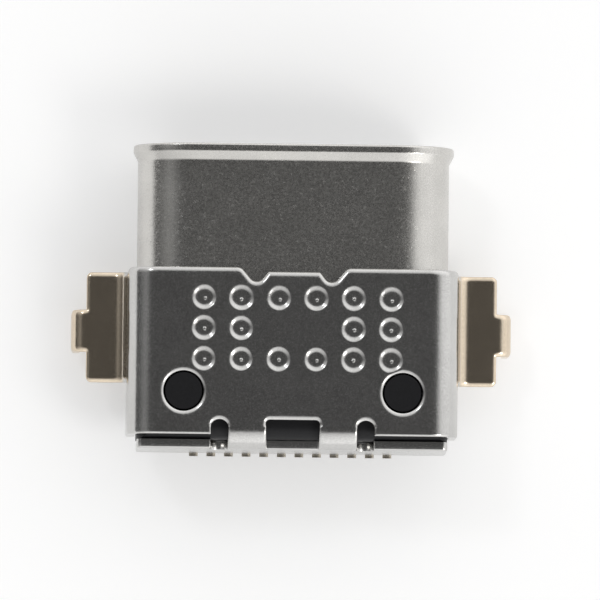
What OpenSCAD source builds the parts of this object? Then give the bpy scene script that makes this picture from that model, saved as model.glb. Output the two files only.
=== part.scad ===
// Mid-mount board socket for a small reversible plug. A drawn inner shell with a flared mouth is
// closed by a black housing, whose tongue carries two rows of contacts with a steel latch plate between them.
// A folded shield cover is spot-welded onto the shell and holds it to the board by two wings.
// +Y points out of the mouth and +Z up. The origin is under the middle of the part, level with
// the lowest point of the mouth's lip. Depths are measured back from the mouth, in millimetres.

/* [Inner shell] */
// Width of the mouth opening
opening_w = 8.34; // [8.2:0.01:8.5]
// Height of the mouth opening
opening_h = 2.56; // [2.5:0.01:2.62]
// Sheet thickness of the inner shell
shell_t = 0.25; // [0.2:0.01:0.3]
// Depth of the cavity, from the mouth to the housing's front face
cavity_depth = 6.2; // [5.8:0.01:6.8]
// How far the shell's upper half reaches back over the housing
shell_grip = 1.45; // [1.42:0.01:1.6]
// How much shorter the shell's lower half is, where the board begins
shell_cut = 0.8; // [0.75:0.01:1.0]
// How far the lip stands out all round the mouth
lip_flare = 0.13; // [0.08:0.01:0.2]
// Length of the lip at its full width
lip_len = 0.22; // [0.2:0.01:0.3]
// Length over which the lip runs back into the shell
lip_taper = 0.25; // [0.2:0.01:0.4]
// Rounding of the two bends between lip and shell
lip_bend_r = 0.2; // [0.1:0.01:0.3]
// Rounding of the lip's two front edges
lip_round = 0.1; // [0.03:0.01:0.11]

/* [Shield cover] */
// Sheet thickness of the shield cover
cover_t = 0.25; // [0.2:0.01:0.27]
// Gap between the cover's side walls and the inner shell
cover_fit = 0.02; // [0.01:0.01:0.05]
// Length of the cover, from its front edge to the back plate's outer face
cover_len = 5.12; // [5.0:0.01:5.25]
// Inner radius of the cover's two long bends
cover_bend_r = 0.6; // [0.45:0.01:0.7]
// Distance from the shell's upper rear edge to the back plate's outer face
rear_len = 1.0; // [0.98:0.01:1.15]
// Inner radius of the bend into the back plate
back_bend_r = 0.35; // [0.25:0.01:0.38]
// Gap between the cover's rear edge and the back plate
rear_gap = 0.14; // [0.1:0.01:0.2]
// How far the back plate springs open from a right angle, in degrees
plate_lean = 2.4; // [0:0.1:3]
// How far the back plate's side parts reach up beside the bend
plate_up = 0.15; // [0.1:0.01:0.25]
// Gap between the board and the lower edges of the side walls
wall_lift = 0.1; // [0.05:0.01:0.2]

/* [Cut-outs of the cover] */
// Half distance between the two notches in the front edge
notch_x = 1.06; // [1.0:0.01:1.1]
// Radius at the bottom of a notch
notch_r = 0.23; // [0.18:0.01:0.24]
// Depth of a notch behind the front edge
notch_depth = 0.4; // [0.36:0.01:0.42]
// Distance from the middle of a notch to its outer shoulder
notch_out = 0.45; // [0.4:0.01:0.5]
// Distance from the middle of a notch to its inner corner
notch_in = 0.33; // [0.31:0.01:0.38]
// How far the edge between the notches is set back
bridge_depth = 0.12; // [0.08:0.01:0.14]
// Width of the rear window
window_w = 1.5; // [1.3:0.01:1.7]
// Corner radius of the rear window
window_r = 0.1; // [0.05:0.01:0.15]
// Distance from the back plate's outer face to the front of the window and the slots
window_len = 0.81; // [0.75:0.01:0.85]
// Drop from the cover's top to the lower edge of the rear window
window_drop = 0.63; // [0.61:0.01:0.9]
// Half distance between the two relief slots
slot_x = 2.07; // [2.0:0.01:2.2]
// Width of a relief slot
slot_w = 0.49; // [0.42:0.01:0.52]
// Drop from the cover's top to the lower end of a relief slot
slot_drop = 1.2; // [1.0:0.01:1.4]

/* [Weld spots] */
// Distance between weld spots across the cover
weld_pitch_x = 1.06; // [1.0:0.01:1.1]
// Distance between weld spots along the cover
weld_pitch_y = 0.87; // [0.8:0.01:0.87]
// How far the weld pattern lies to the right of the cover's middle
weld_shift = 0.1; // [0:0.01:0.12]
// Distance from the cover's front edge to the first row of weld spots
weld_setback = 0.84; // [0.8:0.01:0.85]
// Radius of a weld crater
weld_r = 0.37; // [0.3:0.01:0.38]
// Depth of a weld crater
weld_depth = 0.06; // [0.03:0.01:0.08]

/* [Wings and legs] */
// Length of a wing along the shell
wing_len = 3.13; // [2.9:0.01:3.2]
// How far a wing reaches out of the side wall
wing_reach = 1.14; // [1.0:0.01:1.3]
// Outer radius of the bend from the side wall into the wing
wing_bend_r = 0.4; // [0.3:0.01:0.45]
// Distance from the cover's front edge to the wing
wing_setback = 0.06; // [0.03:0.01:0.12]
// Corner radius of a wing
wing_corner = 0.16; // [0.05:0.01:0.25]
// Width of the relief notch behind a wing
relief_w = 0.14; // [0.1:0.01:0.2]
// Width of a leg
leg_w = 1.2; // [1.0:0.01:1.4]
// How far the middle of a leg lies behind the middle of its wing
leg_shift = 0.1; // [0:0.01:0.15]
// Inner radius of the bend into a leg
leg_bend_r = 0.17; // [0.1:0.01:0.2]
// How far a leg reaches below the board's top face
leg_depth = 0.8; // [0.6:0.01:0.9]

/* [Housing] */
// Running gap between housing and metal
fit = 0.02; // [0.01:0.01:0.03]
// Half distance between the two locating pegs
peg_x = 3.1; // [3.05:0.01:3.15]
// Radius of a locating peg
peg_r = 0.52; // [0.45:0.01:0.54]
// Gap round a peg in the cover's hole
peg_gap = 0.035; // [0.02:0.005:0.06]
// Distance from the housing's front face to the middle of a peg
peg_setback = 0.84; // [0.82:0.01:0.86]
// How far a peg's top lies below the cover's top
peg_sink = 0.05; // [0.02:0.01:0.1]
// Length of the block over the axis, behind the housing's front face
upper_block_len = 1.2; // [1.0:0.01:1.3]
// Length of the block below the axis
lower_block_len = 0.85; // [0.8:0.01:0.9]
// Width of the block moulded round the two insulators
block_w = 7.4; // [7.2:0.01:7.5]
// Height of that block
block_h = 1.3; // [1.2:0.01:1.4]

/* [Tongue] */
// Width of the tongue
tongue_w = 6.69; // [6.6:0.01:6.75]
// Thickness of the tongue
tongue_t = 0.7; // [0.66:0.01:0.74]
// Depth of the tongue's tip
tongue_tip = 0.95; // [0.8:0.01:1.1]
// Length of the solid nose in front of the latch plate
nose_len = 0.2; // [0.15:0.01:0.3]
// Chamfer round the nose
nose_chamfer = 0.12; // [0.05:0.01:0.16]
// Corner radius of the tongue, seen from above
tongue_corner = 0.3; // [0.2:0.01:0.4]
// Length of the thick root of the tongue, in front of the housing
root_len = 1.15; // [1.0:0.01:1.3]
// Thickness of the root over its two ground plates
root_t = 1.3; // [1.2:0.01:1.4]
// Width of the root
root_w = 6.3; // [6.1:0.01:6.5]
// Depth at which the latch notches begin
latch_front = 2.5; // [2.3:0.01:2.7]
// Length of a latch notch in the plastic
latch_len = 1.15; // [1.0:0.01:1.3]
// How deep a latch notch cuts into the plastic
latch_cut = 0.45; // [0.4:0.01:0.48]
// How far the latch plate shows inside its notch
latch_show = 0.1; // [0.05:0.01:0.15]

/* [Latch plate and ground plates] */
// Thickness of the latch plate
latch_t = 0.15; // [0.1:0.01:0.2]
// Width of a latch plate leg
latch_leg_w = 0.35; // [0.3:0.01:0.4]
// Thickness of a ground plate
ground_t = 0.1; // [0.06:0.01:0.12]
// Width of a ground plate
ground_w = 5.5; // [5.2:0.01:5.8]
// How far a ground plate is held inside the housing
ground_hold = 0.25; // [0.15:0.01:0.35]
// Length of a ground plate's hooked lip
ground_lip = 0.08; // [0.05:0.01:0.1]

/* [Contacts] */
// Distance between contacts
pitch = 0.5; // [0.48:0.01:0.52]
// Width of a contact
contact_w = 0.25; // [0.2:0.01:0.28]
// Thickness of a contact
contact_t = 0.12; // [0.1:0.01:0.14]
// Distance from the tongue's tip to the long power and ground contacts
long_setback = 0.5; // [0.4:0.01:0.6]
// Distance from the tongue's tip to the short signal contacts
short_setback = 0.95; // [0.8:0.01:1.1]
// Inner radius of a contact's bends
contact_bend_r = 0.1; // [0.06:0.01:0.12]
// Gap between the outer contacts' upright part and the back plate
upright_gap = 0.14; // [0.12:0.01:0.2]
// How far the outer tails stand out behind the back plate
tail_proud = 0.13; // [0.1:0.01:0.3]
// Drop from the tongue's underside to the board's top face
tail_drop = 0.18; // [0.12:0.01:0.25]
// Distance from the lower block to where the inner contacts step down to the board
step_gap = 0.07; // [0.03:0.01:0.11]
// Length of an inner contact from the start of its step
inner_tail_len = 0.56; // [0.5:0.01:0.58]
// Gap between the inner tails' ends and the housing
tail_gap = 0.06; // [0.04:0.01:0.1]

/* [Hidden] */
$fn = 48;
OVER = 1;         // overshoot of every cutting shape
LAP = 0.05;       // overlap of two pieces that become one
STEP_ANGLE = 30;  // slope of the inner contacts' step
CONTACTS = 12;    // contacts in a row, set by the standard
WELD_ROWS = 3;    // rows of weld spots
WELD_COLUMNS = 6; // weld spots in a full row

shell_len = cavity_depth + shell_grip;
shell_low_len = shell_len - shell_cut;
body_len = shell_len + rear_len;
cover_front = body_len - cover_len;
window_front = body_len - window_len;
root_front = cavity_depth - root_len;
outer_end = cavity_depth + upper_block_len;
inner_end = cavity_depth + lower_block_len;
step_depth = inner_end + step_gap;
inner_tail_end = step_depth + inner_tail_len;
pocket_rear = inner_tail_end + tail_gap;
upright_depth = body_len - cover_t - upright_gap;

shell_h = opening_h + 2 * shell_t;
shell_w = opening_w + 2 * shell_t;
flat_w = opening_w - opening_h;
axis_z = lip_flare + shell_h / 2;
shell_top = axis_z + shell_h / 2;
cover_top = shell_top + cover_t;
cover_half = shell_w / 2 + cover_fit + cover_t;
tongue_top = axis_z + tongue_t / 2;
tongue_under = axis_z - tongue_t / 2;
seat_z = tongue_under - tail_drop;
y_mouth = (body_len + tail_proud) / 2;
cover_rear = body_len - cover_t - rear_gap;
bend_front = body_len - cover_t - back_bend_r;
peg_depth = cavity_depth + peg_setback;
wing_front = cover_front + wing_setback;
wing_rear = wing_front + wing_len;
fold_z = seat_z + cover_t + wing_bend_r;
plate_foot = seat_z + contact_t + contact_bend_r + fit;
step_len = (tail_drop - (2 * contact_bend_r + contact_t) * (1 - cos(STEP_ANGLE))) / sin(STEP_ANGLE);

ROW = [1 : CONTACTS];

STEEL = [0.62, 0.62, 0.62];
COVER_STEEL = [0.56, 0.56, 0.56];
PLASTIC = [0.13, 0.13, 0.15];
GOLD = [0.85, 0.68, 0.38];
PLATE_STEEL = [0.72, 0.72, 0.7];

// Y coordinate of a depth behind the mouth
function y_at(depth) = y_mouth - depth;

// X coordinate of contact i, counted from the left
function x_of(i) = (i - (CONTACTS + 1) / 2) * pitch;

// Depth of a contact's front end: ground and power contacts meet the plug first
function contact_front(i) =
    tongue_tip + (i == 1 || i == 4 || i == CONTACTS - 3 || i == CONTACTS ? long_setback : short_setback);

function unit(v) = v / norm(v);

function flat(p) = [p[0], p[1]];

// Where the arc that rounds corner p meets the edge towards its neighbour a
function arc_end(p, a, c) =
    let (u = unit(flat(a) - flat(p)),
         v = unit(flat(c) - flat(p)))
    flat(p) + u * p[2] / tan(acos(u * v) / 2);

// Twice the signed area on one side of a corner, from its two neighbours
function bulge(a, p, c) = cross(flat(p) - flat(a), flat(c) - flat(p));

// Sliver between the chord and the arc of a rounded corner
module arc_piece(a, p, c) {
    u = unit(flat(a) - flat(p));
    v = unit(flat(c) - flat(p));
    intersection() {
        translate(flat(p) + unit(u + v) * p[2] / sin(acos(u * v) / 2))
            circle(p[2]);
        polygon([arc_end(p, a, c), flat(p), arc_end(p, c, a)]);
    }
}

// Shape through corners [x, y, radius], each rounded by its own true arc. The corners run
// anticlockwise, so that a left turn is an outward corner.
module outline(corners) {
    n = len(corners);
    difference() {
        union() {
            polygon([for (i = [0 : n - 1])
                let (p = corners[i], a = corners[(i + n - 1) % n], c = corners[(i + 1) % n])
                each p[2] > 0 ? [arc_end(p, a, c), arc_end(p, c, a)] : [flat(p)]]);
            for (i = [0 : n - 1])
                let (p = corners[i], a = corners[(i + n - 1) % n], c = corners[(i + 1) % n])
                if (p[2] > 0 && bulge(a, p, c) > 0)
                    arc_piece(a, p, c);
        }
        for (i = [0 : n - 1])
            let (p = corners[i], a = corners[(i + n - 1) % n], c = corners[(i + 1) % n])
            if (p[2] > 0 && bulge(a, p, c) < 0)
                arc_piece(a, p, c);
    }
}

// A folded strip of sheet. It starts at the origin along +X, as thick as t above its
// underside, and w wide. Each step is a length to run or [inner radius, angle] to bend,
// and a positive angle bends up. Children are placed at its end.
module strip(steps, w, t, i = 0) {
    if (i < len(steps)) {
        s = steps[i];
        if (is_list(s)) {
            r = s[0];
            a = abs(s[1]);
            up = s[1] > 0;
            end = up ? [(r + t) * sin(a), t + r - (r + t) * cos(a)] : [r * sin(a), r * cos(a) - r];
            translate([0, 0, up ? t + r : -r])
                rotate([90, 0, 0])
                    rotate([0, 0, up ? 270 : 90 - a])
                        rotate_extrude(angle = a)
                            translate([r, -w / 2])
                                square([t, w]);
            translate([end[0], 0, end[1]])
                rotate([0, up ? -a : a, 0])
                    strip(steps, w, t, i + 1) children();
        } else {
            translate([0, -w / 2, 0])
                cube([s, w, t]);
            translate([s, 0, 0])
                strip(steps, w, t, i + 1) children();
        }
    } else {
        children();
    }
}

// Places a strip so that it runs back from a depth, with its underside at height z
module from_front(x, depth, z)
    translate([x, y_at(depth), z])
        rotate([0, 0, -90])
            children();

module both_sides() {
    children();
    mirror([1, 0, 0])
        children();
}

// Box between two X, two depths and two heights
module block(x, depth, z)
    translate([x[0], y_at(depth[1]), z[0]])
        cube([x[1] - x[0], depth[1] - depth[0], z[1] - z[0]]);

// Upright solid between two heights, through corners [x, depth, radius]
module prism(corners, z)
    translate([0, y_mouth, z[0]])
        mirror([0, 1, 0])
            linear_extrude(z[1] - z[0])
                outline(corners);

// Solid stadium about the shell's axis, between two depths
module stadium(radius, depth)
    translate([0, y_at(depth[0]), axis_z])
        rotate([90, 0, 0])
            linear_extrude(depth[1] - depth[0])
                union() {
                    square([flat_w, 2 * radius], center = true);
                    for (side = [-1, 1])
                        translate([side * flat_w / 2, 0])
                            circle(radius);
                }

// Section of the shell's wall as [radius, depth], with its lip at the front
module wall_section() {
    inner = opening_h / 2;
    outer = inner + shell_t;
    outline([
        [inner + lip_flare, 0, lip_round],
        [outer + lip_flare, 0, lip_round],
        [outer + lip_flare, lip_len, lip_bend_r],
        [outer, lip_len + lip_taper, lip_bend_r],
        [outer, shell_len, 0],
        [inner, shell_len, 0],
        [inner, lip_len + lip_taper, lip_bend_r],
        [inner + lip_flare, lip_len, lip_bend_r]]);
}

// The wall's section swept round the stadium
module shell_tube()
    translate([0, y_mouth, axis_z])
        for (turn = [0, 180])
            rotate([0, turn, 0]) {
                translate([flat_w / 2, 0, 0])
                    rotate([90, 0, 0])
                        rotate([0, 0, -90])
                            rotate_extrude(angle = 180)
                                wall_section();
                translate([-flat_w / 2, 0, 0])
                    rotate([180, -90, 0])
                        linear_extrude(flat_w)
                            wall_section();
            }

// Slots in the shell's rear edge, open to the rear, that slide over the housing's pegs
module peg_slots()
    both_sides() {
        translate([peg_x, y_at(peg_depth), axis_z])
            cylinder(r = peg_r + peg_gap, h = shell_h);
        block([peg_x - peg_r - peg_gap, peg_x + peg_r + peg_gap],
              [peg_depth, shell_len + OVER], [axis_z, shell_top + OVER]);
    }

module inner_shell()
    color(STEEL)
        difference() {
            shell_tube();
            peg_slots();
            block([-shell_w, shell_w], [shell_low_len, shell_len + OVER], [-OVER, seat_z + wall_lift]);
        }

// Section of the folded cover: a roof with two rounded shoulders
module roof(half, top, radius)
    union() {
        translate([-half, seat_z])
            square([2 * half, top - radius - seat_z]);
        translate([radius - half, seat_z])
            square([2 * (half - radius), top - seat_z]);
        for (side = [-1, 1])
            translate([side * (half - radius), top - radius])
                circle(radius);
    }

module roof_block(half, top, radius, depth)
    translate([0, y_at(depth[0]), 0])
        rotate([90, 0, 0])
            linear_extrude(depth[1] - depth[0])
                roof(half, top, radius);

// Roof and side walls of the cover, before anything is cut out of them
module cover_walls()
    difference() {
        roof_block(cover_half, cover_top, cover_bend_r + cover_t, [cover_front, cover_rear]);
        roof_block(cover_half - cover_t, cover_top - cover_t, cover_bend_r,
                   [cover_front - OVER, cover_rear + OVER]);
    }

// Corners of one side's notch, from the bridge outwards
function notch_corners() = [
    [notch_x - notch_in, cover_front + bridge_depth, notch_r / 4],
    [notch_x - notch_r / 2, cover_front + notch_depth, notch_r],
    [notch_x + notch_r / 2, cover_front + notch_depth, notch_r],
    [notch_x + notch_out, cover_front, notch_r],
    [notch_x + 2 * notch_out, cover_front, 0],
    [notch_x + 2 * notch_out, cover_front - OVER, 0]];

// Two notches in the front edge, with the edge between them set back
module front_notches() {
    right = notch_corners();
    n = len(right) - 1;
    prism(concat(
        [for (i = [n : -1 : 0]) right[i]],
        [for (i = [0 : n]) [-right[i][0], right[i][1], right[i][2]]]),
        [shell_top - OVER, cover_top + OVER]);
}

// Window across the bend into the back plate
module rear_window()
    prism([
        [-window_w / 2, window_front, window_r],
        [window_w / 2, window_front, window_r],
        [window_w / 2, body_len + OVER, 0],
        [-window_w / 2, body_len + OVER, 0]],
        [cover_top - window_drop, cover_top + OVER]);

// Relief slot beside the bend, round at both ends
module relief_slot() {
    foot = cover_top - slot_drop + slot_w / 2;
    translate([slot_x, y_at(window_front + slot_w / 2), foot])
        cylinder(d = slot_w, h = cover_top);
    block([slot_x - slot_w / 2, slot_x + slot_w / 2],
          [window_front + slot_w / 2, body_len + OVER], [foot, cover_top + OVER]);
    translate([slot_x, y_at(window_front + slot_w / 2), foot])
        rotate([90, 0, 0])
            cylinder(d = slot_w, h = body_len);
}

// Laser weld: a shallow ring-shaped crater with a small pip in its middle
module weld_crater()
    rotate_extrude()
        polygon([[0, -weld_depth / 2],
                 [weld_r * 0.14, -weld_depth],
                 [weld_r * 0.5, -weld_depth],
                 [weld_r * 0.9, -weld_depth * 0.3],
                 [weld_r, 0],
                 [weld_r, OVER],
                 [0, OVER]]);

// Rows of welds; those between the first and the last leave out their two inner spots
module weld_craters() {
    middle = (WELD_COLUMNS - 1) / 2;
    for (row = [0 : WELD_ROWS - 1], column = [0 : WELD_COLUMNS - 1])
        if (row == 0 || row == WELD_ROWS - 1 || abs(column - middle) > 1)
            translate([(column - middle) * weld_pitch_x + weld_shift,
                       y_at(cover_front + weld_setback + row * weld_pitch_y),
                       cover_top])
                weld_crater();
}

// Side wall trimmed off over the wing's fold, and the relief notch behind it
module wing_clearance()
    both_sides()
        block([cover_half - cover_t - cover_fit, cover_half + OVER],
              [cover_front - OVER, wing_rear + relief_w], [seat_z - OVER, fold_z]);

// Roof ended at the start of the rear bend, between the middles of the relief slots
module roof_trim()
    block([-slot_x, slot_x], [bend_front, cover_rear + OVER], [shell_top - OVER, cover_top + OVER]);

// Wall lifted off the board behind the wings
module wall_trim()
    block([-cover_half - OVER, cover_half + OVER],
          [cover_front - OVER, cover_rear + OVER], [-OVER, seat_z + wall_lift]);

// A wing folded out of the side wall, with its leg folded down through the board
module wing() {
    edge = cover_half + wing_reach;
    root = cover_half + wing_bend_r;
    middle = (wing_front + wing_rear) / 2;
    translate([cover_half - cover_t, y_at(middle), fold_z])
        rotate([0, 90, 0])
            strip([[wing_bend_r, 90]], wing_len, cover_t);
    prism([
        [root, wing_front, 0],
        [edge, wing_front, wing_corner],
        [edge, wing_rear, wing_corner],
        [root, wing_rear, 0]],
        [seat_z, seat_z + cover_t]);
    translate([edge, y_at(middle + leg_shift), seat_z])
        strip([[leg_bend_r, -90], leg_depth - leg_bend_r], leg_w, cover_t);
}

// Plate folded down behind the housing, held to the roof between the two slots
module back_plate() {
    side = shell_w / 2 - fit;
    drop = shell_top - back_bend_r - plate_foot;
    from_front(0, bend_front - LAP, shell_top)
        strip([LAP, [back_bend_r, plate_lean - 90]], 2 * slot_x, cover_t)
            linear_extrude(cover_t)
                outline([
                    [0, -slot_x, 0],
                    [-plate_up, -slot_x, 0],
                    [-plate_up, -side, wing_corner],
                    [drop, -side, wing_corner],
                    [drop, side, wing_corner],
                    [-plate_up, side, wing_corner],
                    [-plate_up, slot_x, 0],
                    [0, slot_x, 0]]);
}

module shield_cover()
    color(COVER_STEEL)
        difference() {
            union() {
                difference() {
                    cover_walls();
                    roof_trim();
                    wall_trim();
                    wing_clearance();
                }
                both_sides()
                    wing();
                back_plate();
            }
            front_notches();
            rear_window();
            both_sides()
                relief_slot();
            weld_craters();
            both_sides()
                translate([peg_x, y_at(peg_depth), shell_top - OVER])
                    cylinder(r = peg_r + peg_gap, h = cover_t + 2 * OVER);
        }

// Notch for the plug's latch in each edge of the tongue, of a given length and depth
module latch_notches(w, lead, cut)
    both_sides()
        prism([
            [w / 2 + OVER, latch_front + latch_len - lead, 0],
            [w / 2 - cut, latch_front + latch_len - lead, cut / 3],
            [w / 2 - cut, latch_front + lead, cut / 3],
            [w / 2 + OVER, latch_front + lead, 0]],
            [axis_z - tongue_t, axis_z + tongue_t]);

// Outline of the tongue from above, between two depths
function tongue_outline(w, front, rear, corner) = [
    [-w / 2, front, corner],
    [w / 2, front, corner],
    [w / 2, rear, 0],
    [-w / 2, rear, 0]];

// Latch plate: a steel sheet in the middle of the tongue, with two ground legs at the rear
module latch_plate() {
    under = axis_z - latch_t / 2;
    leg_x = block_w / 2 - latch_leg_w / 2;
    color(PLATE_STEEL) {
        difference() {
            union() {
                prism(tongue_outline(tongue_w, tongue_tip + nose_len, cavity_depth + LAP, tongue_corner),
                      [under, under + latch_t]);
                block([-block_w / 2, block_w / 2], [cavity_depth, inner_end], [under, under + latch_t]);
            }
            latch_notches(tongue_w, latch_show, latch_cut - latch_show);
        }
        both_sides()
            from_front(leg_x, inner_end, under)
                strip([[contact_bend_r, -90], under - contact_bend_r - seat_z], latch_leg_w, latch_t);
    }
}

// Ground plate over the root of the tongue: hooked over its front edge and held by the housing
module ground_plate()
    color(PLATE_STEEL)
        translate([0, y_at(cavity_depth + ground_hold), root_t / 2 - ground_t])
            rotate([0, 0, 90])
                strip([cavity_depth + ground_hold - root_front - ground_t / 2,
                       [ground_t / 2, -90],
                       ground_lip],
                      ground_w, ground_t);

module upper_ground_plate()
    translate([0, 0, axis_z])
        ground_plate();

module lower_ground_plate()
    translate([0, 0, axis_z])
        mirror([0, 0, 1])
            ground_plate();

// Outer contact: along the tongue's top, through the housing and down to the board
module upper_contact(i)
    color(GOLD)
        let (front = contact_front(i),
             r = contact_bend_r,
             t = contact_t,
             run = upright_depth - r - t - front)
        from_front(x_of(i), front, tongue_top - t)
            strip([run,
                   [r, -90],
                   tongue_top - seat_z - 2 * t - 2 * r,
                   [r, 90],
                   body_len + tail_proud - front - run - 2 * r - t],
                  contact_w, t);

// Inner contact: along the tongue's underside, then a short step down to the board
module lower_contact(i)
    color(GOLD)
        let (front = contact_front(i),
             r = contact_bend_r,
             t = contact_t,
             slope = 2 * r * sin(STEP_ANGLE) + t * sin(STEP_ANGLE) + step_len * cos(STEP_ANGLE))
        from_front(x_of(i), front, tongue_under)
            strip([step_depth - front,
                   [r, -STEP_ANGLE],
                   step_len,
                   [r, STEP_ANGLE],
                   inner_tail_end - step_depth - slope],
                  contact_w, t);

// Half of the tongue with its root and the block behind it, above the axis. The origin is
// on the axis, and rear is the depth of the block's end.
module insulator_half(rear) {
    half = tongue_t / 2;
    from = latch_t / 2;
    translate([0, 0, -axis_z])
        difference() {
            prism(tongue_outline(tongue_w, tongue_tip + nose_len, cavity_depth, 0),
                  [axis_z + from, axis_z + half]);
            latch_notches(tongue_w, 0, latch_cut);
        }
    block([-root_w / 2, root_w / 2], [root_front, cavity_depth], [from, root_t / 2 - ground_t]);
    block([-block_w / 2, block_w / 2], [cavity_depth, rear], [from, block_h / 2]);
}

module upper_insulator()
    color(PLASTIC)
        difference() {
            translate([0, 0, axis_z])
                insulator_half(outer_end);
            for (i = ROW)
                upper_contact(i);
            upper_ground_plate();
        }

// Front of the tongue: full thickness, chamfered, ahead of the latch plate
module nose() {
    half = tongue_t / 2;
    rear = tongue_tip + nose_len;
    intersection() {
        translate([-tongue_w / 2, y_mouth, axis_z])
            rotate([90, 0, 90])
                linear_extrude(tongue_w)
                    polygon([[-rear, -half],
                             [-tongue_tip - nose_chamfer, -half],
                             [-tongue_tip, nose_chamfer - half],
                             [-tongue_tip, half - nose_chamfer],
                             [-tongue_tip - nose_chamfer, half],
                             [-rear, half]]);
        prism(tongue_outline(tongue_w, tongue_tip, rear + OVER, nose_len), [0, cover_top]);
    }
}

module lower_insulator()
    color(PLASTIC)
        difference() {
            union() {
                translate([0, 0, axis_z])
                    mirror([0, 0, 1])
                        insulator_half(inner_end);
                nose();
            }
            for (i = ROW)
                lower_contact(i);
            lower_ground_plate();
            latch_plate();
        }

// Plug that closes the shell, cut off where the board begins
module shell_plug()
    difference() {
        stadium(opening_h / 2 - fit, [cavity_depth, shell_len + fit + LAP]);
        block([-shell_w, shell_w], [shell_low_len, body_len], [-OVER, axis_z - latch_t / 2]);
    }

// Body behind the shell, rounded at the rear to clear the bend into the back plate
module rear_body() {
    top = shell_top - fit;
    rear = body_len - cover_t - fit;
    intersection() {
        roof_block(shell_w / 2 - fit, top, cover_bend_r, [shell_len + fit, rear]);
        translate([-shell_w / 2, y_mouth, 0])
            rotate([90, 0, 90])
                linear_extrude(shell_w)
                    outline([
                        [-rear, seat_z + wall_lift, 0],
                        [-shell_len, seat_z + wall_lift, 0],
                        [-shell_len, top, 0],
                        [-rear, top, back_bend_r]]);
    }
}

module housing()
    color(PLASTIC)
        difference() {
            union() {
                shell_plug();
                rear_body();
                both_sides()
                    translate([peg_x, y_at(peg_depth), axis_z + block_h / 2])
                        cylinder(r = peg_r, h = cover_top - peg_sink - axis_z - block_h / 2);
            }
            // Space of the insulators, the latch plate and the contacts
            block([-block_w / 2, block_w / 2], [cavity_depth - OVER, outer_end],
                  [axis_z, axis_z + block_h / 2]);
            block([-block_w / 2, block_w / 2], [cavity_depth - OVER, inner_end],
                  [axis_z - block_h / 2, axis_z]);
            latch_plate();
            upper_ground_plate();
            lower_ground_plate();
            for (i = ROW)
                upper_contact(i);
            // Pocket over the inner tails and the latch plate's legs
            block([-block_w / 2, block_w / 2], [shell_low_len, pocket_rear], [-OVER, axis_z - latch_t / 2]);
            // Space over the outer tails
            block([-block_w / 2, block_w / 2], [pocket_rear - LAP, body_len], [-OVER, plate_foot]);
        }

inner_shell();
shield_cover();
housing();
upper_insulator();
lower_insulator();
latch_plate();
upper_ground_plate();
lower_ground_plate();
for (i = ROW) {
    upper_contact(i);
    lower_contact(i);
}
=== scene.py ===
# %% [markdown]
# # A board socket for a small reversible plug
# The socket is a drawn steel shell with a flared mouth. A black moulding closes its rear and
# carries a tongue with two rows of contacts. A folded steel cover is spot-welded over the shell
# and holds it to the board by two wings. Everything here is in metres and in the frame of the
# solid model, which gives each piece its place.

# %% The frame and its box
import math

import bmesh
import bpy
import numpy as np
from mathutils import Matrix, Vector
from mathutils import geometry as plane_geometry
from mathutils import kdtree
from mathutils import noise as smooth_noise


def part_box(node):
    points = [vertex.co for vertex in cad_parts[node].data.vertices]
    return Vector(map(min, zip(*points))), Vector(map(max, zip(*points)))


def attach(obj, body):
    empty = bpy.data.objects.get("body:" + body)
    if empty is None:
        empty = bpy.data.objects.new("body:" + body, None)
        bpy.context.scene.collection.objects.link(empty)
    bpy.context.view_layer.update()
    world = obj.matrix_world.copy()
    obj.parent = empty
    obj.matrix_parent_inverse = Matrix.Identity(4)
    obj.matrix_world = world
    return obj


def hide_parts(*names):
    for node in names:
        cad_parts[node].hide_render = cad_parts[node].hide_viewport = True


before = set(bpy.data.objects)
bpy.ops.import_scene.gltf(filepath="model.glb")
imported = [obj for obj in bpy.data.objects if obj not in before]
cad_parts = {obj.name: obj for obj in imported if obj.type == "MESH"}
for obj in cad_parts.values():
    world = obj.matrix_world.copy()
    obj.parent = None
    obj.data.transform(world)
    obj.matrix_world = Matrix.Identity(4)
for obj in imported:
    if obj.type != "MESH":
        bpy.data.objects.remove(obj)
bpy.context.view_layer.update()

MM = 0.001

# %% [markdown]
# The plain numbers of the part come from the solids where they can be measured. A drawn shell and
# a folded sheet also need radii and thicknesses, which a box doesn't give, so these are named here.

# %% Sizes of the sheet parts
SHEET = 0.25 * MM
shell_low, shell_high = (np.array(corner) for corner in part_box("inner_shell"))
cover_low, cover_high = (np.array(corner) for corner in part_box("shield_cover"))
MOUTH_Y = float(shell_high[1])
OPENING_W = 8.34 * MM
OPENING_H = 2.56 * MM
LIP_FLARE = 0.13 * MM
AXIS_Z = LIP_FLARE + OPENING_H / 2 + SHEET
COVER_TOP = float(cover_high[2])
COVER_HALF = OPENING_W / 2 + 2 * SHEET + 0.02 * MM
print("mouth at y", round(MOUTH_Y / MM, 3), "mm, axis at z", round(AXIS_Z / MM, 3), "mm")


# %% [markdown]
# Small helpers come first. `node_in` adds one shader or geometry node with its settings and its
# links, and `srgb` turns a paint-chart hex colour into the linear numbers that the renderer wants.

# %% Helpers for node trees and colours
def node_in(tree, kind, settings=None, **inputs):
    """Adds a node. An input's value may be a number, a tuple or another node's output."""
    node = tree.nodes.new(kind)
    for name, value in (settings or {}).items():
        setattr(node, name, value)
    for name, value in inputs.items():
        key = int(name[1:]) if name[0] == "_" and name[1:].isdigit() else name.replace("_", " ")
        socket = node.inputs[key]
        if isinstance(value, bpy.types.NodeSocket):
            tree.links.new(value, socket)
        else:
            socket.default_value = value
    return node


def srgb(code):
    """Linear RGBA of an sRGB hex code such as 'c8c4bc'."""
    parts = [int(code[i:i + 2], 16) / 255 for i in (0, 2, 4)]
    linear = [p / 12.92 if p <= 0.04045 else ((p + 0.055) / 1.055) ** 2.4 for p in parts]
    return (*linear, 1.0)


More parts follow.
